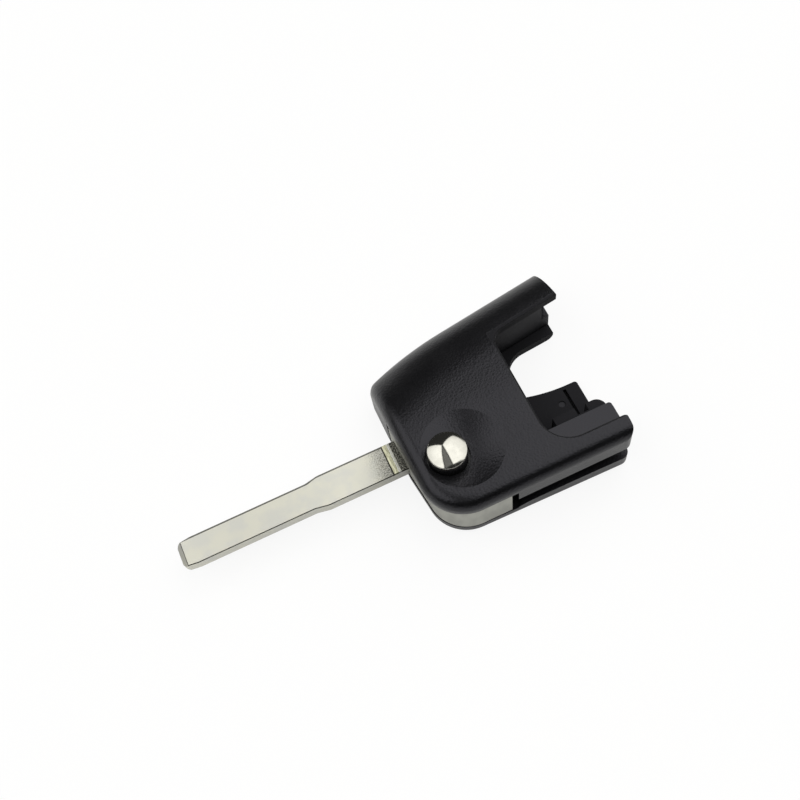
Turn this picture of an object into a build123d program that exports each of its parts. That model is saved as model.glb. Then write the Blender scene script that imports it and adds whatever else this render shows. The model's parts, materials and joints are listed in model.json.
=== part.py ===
from build123d import *
import math
import os

# Flip-key head. Millimetres, +Z up. The origin is where the blade's pivot axis meets the
# surface that the head lies on. The open blade points along -X, the blade slot faces -Y and
# the bay for the remote opens towards +X.

# Head outline seen from above
PIVOT_TO_SIDE = 11.2
PIVOT_TO_FRONT = 7.0
FRONT_LEAN = 1.8
FRONT_CORNER_R = 8.4
FRONT_FACE_INSET = 0.13
FAR_TURN_Y = 13.5
FAR_TURN_INSET = 0.4
FAR_FRONT_Y = 21.85
FAR_BEND_X = 10.0
FAR_WALL_SLOPE = 8.0
FAR_END_Y = 29.7
NEAR_ARM_END = 32.0
FAR_ARM_END = 32.2
FAR_ARM_INNER_END = 32.8
FAR_ARM_CORE_END = 29.9
FAR_ARM_SKIN = 4.6
ARM_CORNER_R = 0.7
ARM_END_R = 1.7
LOWER_END = 31.7
LOWER_TURN_Y = 3.5
LOWER_TURN_INSET = 1.25
LOWER_CORNER_R = 7.65
LOWER_SIDE_INSET = 0.3
LOWER_SIDE_FLARE = 0.35

# Heights
HEAD_HEIGHT = 14.0
PARTING_Z = 5.7
TOP_EDGE_R = 2.6
FAR_ROLL_HEIGHT = 7.8
FAR_ROLL_WIDTH = 13.0
BOTTOM_EDGE_R = 1.5
FLOOR_THICK = 2.0
SKIN_THICK = 2.2
WALL = 1.6
EDGE_BREAK = 0.25
RIM_BREAK = 0.45

# Hub and the round cavity that it turns in
HUB_BOTTOM_Z = 3.0
HUB_HEIGHT = 7.5
HUB_SIDE_GAP = 0.15
HUB_TAIL = 7.3
HUB_FACE_GAP = 0.2
CAVITY_R = 14.1
JOURNAL_R = 6.0
JOURNAL_HEIGHT = 0.7
JOURNAL_GAP = 0.08

# Blade
BLADE_THICK = 2.65
BLADE_MID_Z = 5.68
BLADE_LINE_Y = 6.65
BLADE_NARROW = 5.45
BLADE_WIDE = 6.45
BLADE_TIP_X = 51.85
BLADE_STEP_X = 25.7
BLADE_STEP_LENGTH = 2.6
TIP_BEVEL = 1.0
TIP_BEVEL_ANGLE = 35.0
TIP_TAPER = 2.8
TIP_TAPER_DEPTH = 0.35
TIP_CORNER_R = 1.1
BLADE_EDGE = 0.15
BEAD_X = 9.03
BEAD_WIDTH = 1.44
BEAD_RISE = 0.22
SHOULDER_DEPTH = 2.2
TANG_LENGTH = 3.8
TANG_WIDTH = 4.0
TANG_SHIFT = 0.75
SEAT_GAP = 0.04

# Roll pin through the hub and the tang
PIN_R = 0.8
PIN_WALL = 0.25
PIN_SLOT = 0.35
PIN_X = 4.0
PIN_INSET = 0.2

# Release button
BUTTON_R = 3.65
BUTTON_HOLE_R = 4.1
BUTTON_RIM_Z = 15.85
DOME_RISE = 1.15
BUTTON_WALL = 0.6
BUTTON_TRAVEL = 2.0
SKIRT_BOTTOM_Z = 5.5
CEILING_Z = 14.3
GUIDE_R = 4.6
GUIDE_GAP = 0.08
LUG_REACH = 0.8
LUG_WIDTH = 2.4
LUG_COUNT = 4
LUG_HEIGHT = 1.9
LUG_LIFT = 0.6
RELIEF_GAP = 0.25
DISH_X = 2.95
DISH_R = 8.2
DISH_DEPTH = 1.35

# Spring and its seat
WIRE_R = 0.42
SPRING_R = 2.45
SPRING_TURNS = 6
SPRING_GAP = 0.15
SEAT_HEAD_R = 4.95
SEAT_HEAD_THICK = 1.1
SEAT_BODY_R = 4.3
SEAT_POST_R = 1.6
SEAT_POST_TOP = 7.0
SEAT_FIT = 0.05
SEAT_KEY = 1.2
SPANNER_HOLE_R = 0.6
SPANNER_HOLE_X = 3.1
SPANNER_HOLE_DEPTH = 0.7

# Remote bay
BAY_FRONT_X = 17.75
BAY_NEAR_Y = -7.15
BAY_NEAR_R = 5.7
BAY_FAR_R = 2.8
BAY_FAR_OFFSET = 9.1
BAY_UNDERCUT = 1.1
BAY_FAR_STEP = 0.7
LEDGE_DROP = 3.0
LEDGE_REACH = 4.4
LEDGE_THICK = 1.9
LEDGE_START_X = 18.8
LEDGE_END_X = 31.6
LEDGE_CORNER_R = 0.6

# Lower floor, its own cut and the blade channel
FLOOR_CUT_X = 19.5
FLOOR_CUT_NEAR = 7.55
FLOOR_CUT_WIDTH = 10.45
FLOOR_CUT_FLARE = 5.0
FLOOR_CUT_R = 5.3
FLOOR_CURVE_X = 29.0
FLOOR_CURVE_RISE = 1.41
FLOOR_END_X = 30.6
FLOOR_CORNER_R = 0.6
RAIL_Y = -0.2
RAIL_THICK = 2.9
RAIL_TOP = 8.8
RAIL_START_X = 21.1
RAIL_END_X = 31.3
RAIL_GAP_X = 25.65
RAIL_GAP_WIDTH = 2.3
RAIL_NOSE_R = 2.0
LOW_RAIL_TOP = 5.0
GROOVE_X = 27.3
GROOVE_WIDTH = 0.65
GROOVE_DEPTH = 1.0
GROOVE_END_Y = 6.85
EJECTOR_R = 0.7
EJECTOR_X = 25.8
EJECTOR_Y = 4.3
SLOT_SILL = [(0.0, 3.2), (8.7, 3.2), (10.8, 3.8), (20.0, 4.05), (31.0, 4.05)]
SLOT_LIP_Z = 7.55
CHANNEL_FLOOR_Z = 2.6
CHANNEL_ROOF_Z = 8.9

# Core pocket, locating pins and closing screw
POCKET_FLOOR_Z = 1.8
POCKET_ROOF_Z = 8.6
POCKET_WALL = 1.8
LOCATOR_R = 0.9
LOCATOR_DEPTH = 2.6
LOCATOR_GAP = 0.06
LOCATOR_SPOTS = [(-3.6, 17.2), (24.6, 25.0)]
BOSS_R = 2.6
SCREW_X = 8.4
SCREW_Y = 20.4
SCREW_R = 0.8
SCREW_GAP = 0.06
SCREW_HEAD_R = 1.5
SCREW_HEAD_THICK = 1.1
SCREW_HEAD_RECESS = 0.4
SCREW_LENGTH = 8.2
CROSS_WIDTH = 0.45
CROSS_DEPTH = 0.6

# Sizes that follow from the ones above
SIDE_Y = -PIVOT_TO_SIDE
HUB_TOP_Z = HUB_BOTTOM_Z + HUB_HEIGHT
JOURNAL_TOP_Z = HUB_TOP_Z + JOURNAL_HEIGHT
CAVITY_FLOOR_Z = HUB_BOTTOM_Z - HUB_FACE_GAP
CAVITY_ROOF_Z = HUB_TOP_Z + HUB_FACE_GAP
SKIN_Z = HEAD_HEIGHT - SKIN_THICK
LEDGE_Z = HEAD_HEIGHT - LEDGE_DROP
LUG_R = GUIDE_R + LUG_REACH
LUG_TOP_Z = JOURNAL_TOP_Z + LUG_LIFT
LUG_BOTTOM_Z = LUG_TOP_Z - LUG_HEIGHT
BLADE_TOP_Z = BLADE_MID_Z + BLADE_THICK / 2
BLADE_BOTTOM_Z = BLADE_MID_Z - BLADE_THICK / 2
SEAT_TOP_Z = HUB_BOTTOM_Z - JOURNAL_HEIGHT - HUB_FACE_GAP
SCREW_TIP_Z = SCREW_HEAD_RECESS + SCREW_HEAD_THICK + SCREW_LENGTH
BEYOND = 5.0


def front_x(y):
    """X of the leaning front face at a given Y."""
    return -PIVOT_TO_FRONT - y * math.tan(math.radians(FRONT_LEAN))


def far_y(x):
    """Y of the straight stretch of the far wall at a given X."""
    return FAR_END_Y - (FAR_ARM_END - x) * math.tan(math.radians(FAR_WALL_SLOPE))


FAR_DIRECTION = (-math.cos(math.radians(FAR_WALL_SLOPE)), -math.sin(math.radians(FAR_WALL_SLOPE)))
FAR_FRONT_CORNER = (front_x(FAR_FRONT_Y) + FAR_TURN_INSET, FAR_FRONT_Y)
FAR_TURN = (front_x(FAR_TURN_Y) + FRONT_FACE_INSET, FAR_TURN_Y)
FAR_BEND = (FAR_BEND_X, far_y(FAR_BEND_X))


def head_plan(foot, corner_r, near_end, far_inner_end, far_end):
    """Head outline from the foot of the front face to the ends of its two arms."""
    with BuildSketch() as plan:
        with BuildLine():
            Polyline(
                FAR_FRONT_CORNER,
                FAR_TURN,
                *foot,
                near_end,
                (far_inner_end, far_y(far_inner_end) - BAY_FAR_OFFSET),
                (far_end, far_y(far_end)),
                FAR_BEND,
            )
            TangentArc(FAR_BEND, FAR_FRONT_CORNER, tangent=FAR_DIRECTION)
        make_face()
        fillet(plan.vertices().sort_by_distance(foot[-1])[0], radius=corner_r)
    return plan.sketch


def rounded(outline, corner, radius):
    """Outline with one of its corners rounded."""
    with BuildSketch() as plan:
        add(outline)
        fillet(plan.vertices().sort_by_distance(corner)[0], radius=radius)
    return plan.sketch


def bay_plan(front, near, near_r, far_r, far_offset, end):
    """U-shaped outline open towards +X, its far side parallel to the far wall."""
    far_front = far_y(front) - far_offset
    far_back = far_y(end) - far_offset
    with BuildSketch() as plan:
        with BuildLine():
            Polyline((end, near), (front, near), (front, far_front), (end, far_back), close=True)
        make_face()
        fillet(plan.vertices().sort_by_distance((front, near))[0], radius=near_r)
        fillet(plan.vertices().sort_by_distance((front, far_front))[0], radius=far_r)
    return plan.sketch


def block_plan(x_low, x_high, y_low, y_high):
    """Rectangle between two corners."""
    with BuildSketch() as plan:
        with BuildLine():
            Polyline((x_low, y_low), (x_high, y_low), (x_high, y_high), (x_low, y_high), close=True)
        make_face()
    return plan.sketch


BAY_END = FAR_ARM_END + BEYOND
BAY_WALL_X = BAY_FRONT_X - BAY_UNDERCUT
BAY_WALL_OFFSET = BAY_FAR_OFFSET - BAY_FAR_STEP
LEDGE_Y = BAY_NEAR_Y + LEDGE_REACH
RAIL_BACK_Y = RAIL_Y - RAIL_THICK
SLOT_WALL_Y = SIDE_Y + WALL

UPPER_FOOT = [(front_x(SIDE_Y), SIDE_Y)]
UPPER_NEAR_END = (NEAR_ARM_END, SIDE_Y)
UPPER_PLAN = head_plan(UPPER_FOOT, FRONT_CORNER_R, UPPER_NEAR_END, FAR_ARM_INNER_END, FAR_ARM_END)
LOWER_TURN = (front_x(LOWER_TURN_Y) + FRONT_FACE_INSET, LOWER_TURN_Y)
LOWER_FRONT = front_x(SIDE_Y) + LOWER_TURN_INSET
LOWER_FOOT = [LOWER_TURN, (LOWER_FRONT, SIDE_Y + LOWER_SIDE_INSET)]
LOWER_NEAR_END = (LOWER_END, SIDE_Y - LOWER_SIDE_FLARE)
LOWER_SHARP = head_plan(LOWER_FOOT, LOWER_CORNER_R, LOWER_NEAR_END, LOWER_END, LOWER_END)
LOWER_FRONT_ROUNDED = rounded(LOWER_SHARP, FAR_FRONT_CORNER, TOP_EDGE_R)
LOWER_PLAN = rounded(LOWER_FRONT_ROUNDED, LOWER_NEAR_END, ARM_END_R)
SKIN_CUT = bay_plan(BAY_FRONT_X, BAY_NEAR_Y, BAY_NEAR_R, BAY_FAR_R, BAY_FAR_OFFSET, BAY_END)
BAY_CUT = bay_plan(BAY_WALL_X, RAIL_Y, BAY_FAR_R, BAY_FAR_R, BAY_WALL_OFFSET, BAY_END)
LEDGE_CUT = bay_plan(BAY_WALL_X, LEDGE_Y, EDGE_BREAK, BAY_FAR_R, BAY_WALL_OFFSET, BAY_END)
RAIL_CUT = bay_plan(BAY_WALL_X, RAIL_BACK_Y - SEAT_GAP, EDGE_BREAK, BAY_FAR_R, BAY_WALL_OFFSET, BAY_END)
LEDGE_END_CUT = block_plan(BAY_WALL_X, LEDGE_START_X, BAY_NEAR_Y, LEDGE_Y + EDGE_BREAK)
LEDGE_END_CUT += block_plan(LEDGE_END_X, BAY_END, BAY_NEAR_Y, LEDGE_Y + EDGE_BREAK)
CORE_END_CUT = bay_plan(FAR_ARM_CORE_END, LEDGE_Y, EDGE_BREAK, EDGE_BREAK, FAR_ARM_SKIN, BAY_END)
CHANNEL_CUT = block_plan(0, BAY_END, SLOT_WALL_Y, RAIL_BACK_Y)
SLOT_CUT = block_plan(0, BAY_END, SIDE_Y - BEYOND, SLOT_WALL_Y + EDGE_BREAK)

# Region of the closed pocket between the hub's cavity, the bay and the outer wall
with BuildSketch() as pocket_region:
    add(LOWER_PLAN)
    offset(amount=-POCKET_WALL, kind=Kind.INTERSECTION)
    Circle(CAVITY_R + POCKET_WALL, mode=Mode.SUBTRACT)
    add(bay_plan(BAY_WALL_X - POCKET_WALL, SIDE_Y, EDGE_BREAK, BAY_FAR_R, BAY_WALL_OFFSET - POCKET_WALL,
                 BAY_END), mode=Mode.SUBTRACT)
    add(block_plan(0, BAY_END, SIDE_Y, CAVITY_R), mode=Mode.SUBTRACT)
    with Locations(*LOCATOR_SPOTS, (SCREW_X, SCREW_Y)):
        Circle(BOSS_R, mode=Mode.SUBTRACT)
POCKET = pocket_region.sketch.faces().sort_by(SortBy.AREA)[-1]

# Rolled far edge: everything outside a quarter ellipse that follows the far wall
with BuildLine() as far_wall:
    far_arc = TangentArc(FAR_BEND, FAR_FRONT_CORNER, tangent=FAR_DIRECTION)
roll_plane = Plane(
    (*FAR_BEND, HEAD_HEIGHT), x_dir=(FAR_DIRECTION[1], -FAR_DIRECTION[0], 0), z_dir=(*FAR_DIRECTION, 0)
)
with BuildSketch(roll_plane) as roll_profile:
    with BuildLine():
        roll_centre = (-FAR_ROLL_WIDTH, FAR_ROLL_HEIGHT)
        EllipticalCenterArc(roll_centre, FAR_ROLL_WIDTH, FAR_ROLL_HEIGHT, start_angle=270, arc_size=90)
        Polyline(
            (-FAR_ROLL_WIDTH, 0),
            (-FAR_ROLL_WIDTH, -BEYOND),
            (BEYOND, -BEYOND),
            (BEYOND, FAR_ROLL_HEIGHT),
            (0, FAR_ROLL_HEIGHT),
        )
    make_face()
with BuildPart() as far_roll:
    extrude(roll_profile.sketch, amount=FAR_BEND_X - BAY_END - BEYOND)
    arc_axis = Axis(far_arc.arc_center, (0, 0, 1))
    arc_angle = math.degrees((far_arc.length + FAR_ROLL_WIDTH) / far_arc.radius)
    revolve(roll_profile.sketch, axis=arc_axis, revolution_arc=arc_angle)

with BuildPart() as upper_shell:
    with BuildSketch(Plane.XY.offset(PARTING_Z)):
        add(UPPER_PLAN)
    extrude(amount=HEAD_HEIGHT - PARTING_Z)
    add(far_roll.part, mode=Mode.SUBTRACT)
    near_rim = upper_shell.edges().sort_by_distance((0, SIDE_Y, HEAD_HEIGHT))[0]
    roll_edge_spot = (*FAR_FRONT_CORNER, HEAD_HEIGHT - FAR_ROLL_HEIGHT / 2)
    roll_edge = upper_shell.edges().sort_by_distance(roll_edge_spot)[0]
    fillet([near_rim, roll_edge], radius=TOP_EDGE_R)
    with BuildSketch(Plane.XY.offset(PARTING_Z)):
        add(rounded(UPPER_PLAN, UPPER_NEAR_END, ARM_END_R))
    extrude(amount=HEAD_HEIGHT, mode=Mode.INTERSECT)
    with BuildSketch(Plane.XY.offset(SKIN_Z)):
        add(SKIN_CUT)
    extrude(amount=SKIN_THICK + BEYOND, mode=Mode.SUBTRACT)
    upright = upper_shell.edges().filter_by(Axis.Z)
    fillet(upright.sort_by_distance((NEAR_ARM_END, BAY_NEAR_Y, HEAD_HEIGHT))[0], radius=ARM_CORNER_R)
    with BuildSketch(Plane.XY.offset(HEAD_HEIGHT)):
        add(SKIN_CUT)
        offset(amount=RIM_BREAK, kind=Kind.INTERSECTION)
    extrude(amount=-RIM_BREAK, taper=45, mode=Mode.SUBTRACT)
    with BuildSketch(Plane.XY.offset(LEDGE_Z)):
        add(SKIN_CUT)
        add(LEDGE_CUT)
    extrude(amount=SKIN_Z - LEDGE_Z, mode=Mode.SUBTRACT)
    with BuildSketch(Plane.XY.offset(LEDGE_Z - LEDGE_THICK)) as ledge_outline:
        add(LEDGE_CUT)
        add(LEDGE_END_CUT)
        ledge_corner = ledge_outline.vertices().sort_by_distance((LEDGE_END_X, LEDGE_Y))[0]
        fillet(ledge_corner, radius=LEDGE_CORNER_R)
    extrude(amount=SKIN_Z - LEDGE_Z + LEDGE_THICK, mode=Mode.SUBTRACT)
    with BuildSketch(Plane.XY.offset(PARTING_Z)):
        add(CORE_END_CUT)
    extrude(amount=LEDGE_Z - PARTING_Z, mode=Mode.SUBTRACT)
    with BuildSketch(Plane.XY.offset(PARTING_Z)):
        add(RAIL_CUT)
    extrude(amount=LEDGE_Z - LEDGE_THICK - PARTING_Z, mode=Mode.SUBTRACT)
    with BuildSketch(Plane.XY.offset(PARTING_Z)):
        add(CHANNEL_CUT)
    extrude(amount=CHANNEL_ROOF_Z - PARTING_Z, mode=Mode.SUBTRACT)
    with BuildSketch(Plane.XY.offset(PARTING_Z)):
        add(SLOT_CUT)
    extrude(amount=SLOT_LIP_Z - PARTING_Z, mode=Mode.SUBTRACT)
    with BuildSketch(Plane.XY.offset(PARTING_Z)):
        add(POCKET)
    extrude(amount=POCKET_ROOF_Z - PARTING_Z, mode=Mode.SUBTRACT)
    with BuildSketch(Plane.XY.offset(PARTING_Z)):
        Circle(CAVITY_R)
    extrude(amount=CAVITY_ROOF_Z - PARTING_Z, mode=Mode.SUBTRACT)
    with BuildSketch(Plane.XY.offset(PARTING_Z)):
        Circle(JOURNAL_R + JOURNAL_GAP)
    extrude(amount=JOURNAL_TOP_Z + HUB_FACE_GAP - PARTING_Z, mode=Mode.SUBTRACT)
    with BuildSketch(Plane.XY.offset(PARTING_Z)):
        Circle(LUG_R + RELIEF_GAP)
    extrude(amount=LUG_TOP_Z + RELIEF_GAP - PARTING_Z, mode=Mode.SUBTRACT)
    with BuildSketch(Plane.XY.offset(PARTING_Z)):
        Circle(BUTTON_HOLE_R)
    extrude(amount=HEAD_HEIGHT, mode=Mode.SUBTRACT)
    with BuildSketch(Plane((DISH_X, 0, HEAD_HEIGHT), x_dir=(1, 0, 0), z_dir=(0, -1, 0))):
        with BuildLine():
            Spline((0, -DISH_DEPTH), (DISH_R, 0), tangents=((1, 0), (1, 0)))
            Polyline((DISH_R, 0), (DISH_R, BEYOND), (0, BEYOND), (0, -DISH_DEPTH))
        make_face()
    revolve(axis=Axis((DISH_X, 0, 0), (0, 0, 1)), mode=Mode.SUBTRACT)
    with BuildSketch(Plane.XY.offset(PARTING_Z)):
        with Locations((SCREW_X, SCREW_Y)):
            Circle(SCREW_R + SCREW_GAP)
    extrude(amount=SCREW_TIP_Z + SCREW_HEAD_RECESS - PARTING_Z, mode=Mode.SUBTRACT)
    with BuildSketch(Plane.XY.offset(PARTING_Z)):
        with Locations(*LOCATOR_SPOTS):
            Circle(LOCATOR_R)
    extrude(amount=-LOCATOR_DEPTH)
upper_shell.part.label = "upper_shell"

with BuildPart() as lower_shell:
    with BuildSketch():
        add(LOWER_PLAN)
    extrude(amount=PARTING_Z)
    fillet(lower_shell.faces().sort_by(Axis.Z)[0].edges(), radius=BOTTOM_EDGE_R)
    with BuildSketch(Plane.XY.offset(FLOOR_THICK)):
        add(BAY_CUT)
    extrude(amount=PARTING_Z, mode=Mode.SUBTRACT)
    with BuildSketch(Plane.XY.offset(CHANNEL_FLOOR_Z)):
        add(CHANNEL_CUT)
    extrude(amount=PARTING_Z, mode=Mode.SUBTRACT)
    with BuildSketch(Plane.XZ.offset(-SLOT_WALL_Y)):
        with BuildLine():
            sill_end = (BAY_END, SLOT_SILL[-1][1])
            Polyline((0, PARTING_Z), *SLOT_SILL, sill_end, (BAY_END, PARTING_Z), close=True)
        make_face()
    extrude(amount=BEYOND, mode=Mode.SUBTRACT)
    with BuildSketch(Plane.XY.offset(LOW_RAIL_TOP)):
        add(block_plan(0, RAIL_START_X, RAIL_BACK_Y - EDGE_BREAK, RAIL_Y + EDGE_BREAK))
    extrude(amount=PARTING_Z, mode=Mode.SUBTRACT)
    with BuildSketch(Plane.XY.offset(FLOOR_THICK)):
        add(block_plan(RAIL_START_X, RAIL_END_X, RAIL_BACK_Y, RAIL_Y))
    extrude(amount=RAIL_TOP - FLOOR_THICK)
    rail_nose = lower_shell.edges().filter_by(Axis.Z).sort_by_distance((RAIL_END_X, RAIL_Y, RAIL_TOP))[0]
    fillet(rail_nose, radius=RAIL_NOSE_R)
    with BuildSketch(Plane.XY.offset(FLOOR_THICK)):
        gap_end = RAIL_GAP_X + RAIL_GAP_WIDTH
        add(block_plan(RAIL_GAP_X, gap_end, RAIL_Y - RAIL_THICK / 2, RAIL_Y + EDGE_BREAK))
    extrude(amount=HEAD_HEIGHT, mode=Mode.SUBTRACT)
    with BuildSketch(Plane.XY.offset(FLOOR_THICK - GROOVE_DEPTH)):
        add(block_plan(GROOVE_X, GROOVE_X + GROOVE_WIDTH, RAIL_Y, GROOVE_END_Y))
    extrude(amount=GROOVE_DEPTH, mode=Mode.SUBTRACT)
    with BuildSketch(Plane.XY.offset(-BEYOND)):
        add(block_plan(FLOOR_END_X, BAY_END, RAIL_Y + EDGE_BREAK, FLOOR_CUT_NEAR + BEYOND))
    extrude(amount=2 * BEYOND, mode=Mode.SUBTRACT)
    with BuildSketch(Plane.XY.offset(FLOOR_THICK - EDGE_BREAK)):
        with Locations((EJECTOR_X, EJECTOR_Y)):
            Circle(EJECTOR_R)
    extrude(amount=EDGE_BREAK, mode=Mode.SUBTRACT)
    with BuildSketch(Plane.XY.offset(-BEYOND)) as floor_cut:
        with BuildLine():
            far_side = FLOOR_CUT_NEAR + FLOOR_CUT_WIDTH
            flare = (BAY_END - FLOOR_CUT_X) * math.tan(math.radians(FLOOR_CUT_FLARE))
            near_line = Line((BAY_END, FLOOR_CUT_NEAR), (FLOOR_CURVE_X, FLOOR_CUT_NEAR))
            near_front = (FLOOR_CUT_X, FLOOR_CUT_NEAR + FLOOR_CURVE_RISE)
            TangentArc(near_line @ 1, near_front, tangent=near_line % 1)
            Polyline(near_front, (FLOOR_CUT_X, far_side), (BAY_END, far_side + flare), near_line @ 0)
        make_face()
        fillet(floor_cut.vertices().sort_by_distance((FLOOR_CUT_X, far_side))[0], radius=FLOOR_CUT_R)
    extrude(amount=2 * BEYOND, mode=Mode.SUBTRACT)
    upright = lower_shell.edges().filter_by(Axis.Z)
    fillet(upright.sort_by_distance((FLOOR_END_X, FLOOR_CUT_NEAR, 0))[0], radius=FLOOR_CORNER_R)
    with BuildSketch(Plane.XY.offset(CAVITY_FLOOR_Z)):
        Circle(CAVITY_R)
    extrude(amount=HEAD_HEIGHT, mode=Mode.SUBTRACT)
    with BuildSketch(Plane.XY.offset(HUB_BOTTOM_Z - JOURNAL_HEIGHT - HUB_FACE_GAP)):
        Circle(JOURNAL_R + JOURNAL_GAP)
    extrude(amount=HEAD_HEIGHT, mode=Mode.SUBTRACT)
    with BuildSketch(Plane.XY.offset(POCKET_FLOOR_Z)):
        add(POCKET)
    extrude(amount=PARTING_Z, mode=Mode.SUBTRACT)
    with BuildSketch(Plane.XY.offset(PARTING_Z)):
        with Locations(*LOCATOR_SPOTS):
            Circle(LOCATOR_R + LOCATOR_GAP)
    extrude(amount=-LOCATOR_DEPTH - LOCATOR_GAP, mode=Mode.SUBTRACT)
    with BuildSketch():
        Circle(SEAT_HEAD_R + SEAT_FIT)
    extrude(amount=SEAT_HEAD_THICK + SEAT_FIT, mode=Mode.SUBTRACT)
    with BuildSketch():
        Circle(SEAT_BODY_R + SEAT_FIT)
        with Locations((SEAT_BODY_R, 0)):
            Rectangle(SEAT_KEY + 2 * SEAT_FIT, SEAT_KEY + 2 * SEAT_FIT)
        with Locations((SCREW_X, SCREW_Y)):
            Circle(SCREW_R + SCREW_GAP)
    extrude(amount=PARTING_Z, mode=Mode.SUBTRACT)
    with BuildSketch():
        with Locations((SCREW_X, SCREW_Y)):
            Circle(SCREW_HEAD_R + SCREW_GAP)
    extrude(amount=SCREW_HEAD_RECESS + SCREW_HEAD_THICK, mode=Mode.SUBTRACT)
lower_shell.part.label = "lower_shell"

# The hub's outline is the same when it is turned half round, so it fills the front corner
# with the blade open and with it folded.
hub_side = PIVOT_TO_SIDE - HUB_SIDE_GAP
hub_front = LOWER_FRONT + HUB_SIDE_GAP
hub_turn = LOWER_TURN[0] + HUB_SIDE_GAP
shoulder_x = front_x(BLADE_LINE_Y) + SHOULDER_DEPTH
tang_y = BLADE_LINE_Y + TANG_SHIFT
tang_end = shoulder_x + TANG_LENGTH
with BuildPart() as blade_hub:
    with BuildSketch(Plane.XY.offset(HUB_BOTTOM_Z)) as hub_plan:
        with BuildLine():
            Polyline(
                (hub_front, -hub_side),
                (HUB_TAIL, -hub_side),
                (-hub_turn, -LOWER_TURN_Y),
                (-hub_front, hub_side),
                (-HUB_TAIL, hub_side),
                (hub_turn, LOWER_TURN_Y),
                close=True,
            )
        make_face()
        round_corners = hub_plan.vertices().sort_by_distance((hub_front, -hub_side))[:1]
        round_corners += hub_plan.vertices().sort_by_distance((-hub_front, hub_side))[:1]
        fillet(round_corners, radius=LOWER_CORNER_R - HUB_SIDE_GAP)
    extrude(amount=HUB_HEIGHT)
    chamfer(blade_hub.edges().filter_by(Plane.XY), length=EDGE_BREAK)
    with BuildSketch(Plane.XY.offset(HUB_BOTTOM_Z - JOURNAL_HEIGHT)):
        Circle(JOURNAL_R)
    extrude(amount=HUB_HEIGHT + 2 * JOURNAL_HEIGHT)
    with BuildSketch(Plane.XY.offset(HUB_BOTTOM_Z - JOURNAL_HEIGHT)):
        Circle(GUIDE_R + GUIDE_GAP)
    extrude(amount=HUB_HEIGHT + 2 * JOURNAL_HEIGHT, mode=Mode.SUBTRACT)
    with BuildSketch(Plane.XY.offset(LUG_BOTTOM_Z - BUTTON_TRAVEL - RELIEF_GAP)):
        with PolarLocations(LUG_R / 2, LUG_COUNT, start_angle=45):
            Rectangle(LUG_R + 2 * GUIDE_GAP, LUG_WIDTH + 2 * GUIDE_GAP)
    extrude(amount=HEAD_HEIGHT, mode=Mode.SUBTRACT)
    with BuildSketch(Plane.XY.offset(BLADE_BOTTOM_Z - SEAT_GAP)):
        half_wide = BLADE_WIDE / 2 + SEAT_GAP
        half_tang = TANG_WIDTH / 2 + SEAT_GAP
        mouth_x = -HUB_TAIL - BEYOND
        add(block_plan(mouth_x, shoulder_x + SEAT_GAP, BLADE_LINE_Y - half_wide, BLADE_LINE_Y + half_wide))
        add(block_plan(shoulder_x, tang_end + SEAT_GAP, tang_y - half_tang, tang_y + half_tang))
    extrude(amount=BLADE_THICK + 2 * SEAT_GAP, mode=Mode.SUBTRACT)
    with BuildSketch(Plane.XY.offset(HUB_BOTTOM_Z)):
        with Locations((-PIN_X, tang_y)):
            Circle(PIN_R + SEAT_GAP)
    extrude(amount=HUB_HEIGHT, mode=Mode.SUBTRACT)
blade_hub.part.label = "blade_hub"

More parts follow.
